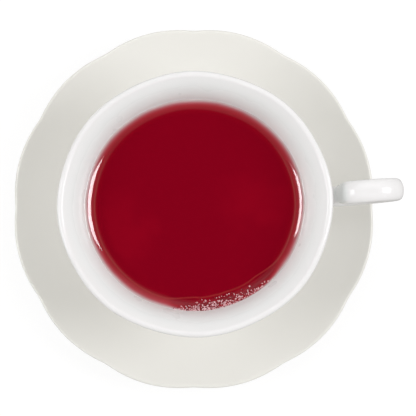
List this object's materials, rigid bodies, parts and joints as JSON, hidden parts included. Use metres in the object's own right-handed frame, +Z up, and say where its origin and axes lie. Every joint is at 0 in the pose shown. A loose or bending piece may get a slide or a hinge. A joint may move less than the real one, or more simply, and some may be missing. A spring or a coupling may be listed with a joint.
{
  "type": "cup of tea on a saucer",
  "caption": "Flared porcelain teacup with an ear-shaped strap handle, filled with red tea, standing in the well of a dished saucer with a scalloped rim",
  "frame": {"origin": "centre of the saucer's foot ring, on the table plane", "axes": "+Z up, +X from the cup's axis along its handle, +Y follows by the right-hand rule"},
  "size_m": [0.1576, 0.1492, 0.0615],
  "materials": {
    "saucer_glaze": "warm white glazed porcelain",
    "cup_glaze": "white glazed porcelain",
    "tea": "clear deep red infusion, still surface"
  },
  "bodies": {
    "root": {"saucer": "saucer_glaze", "cup": "cup_glaze", "tea": "tea"}
  },
  "joints": []
}
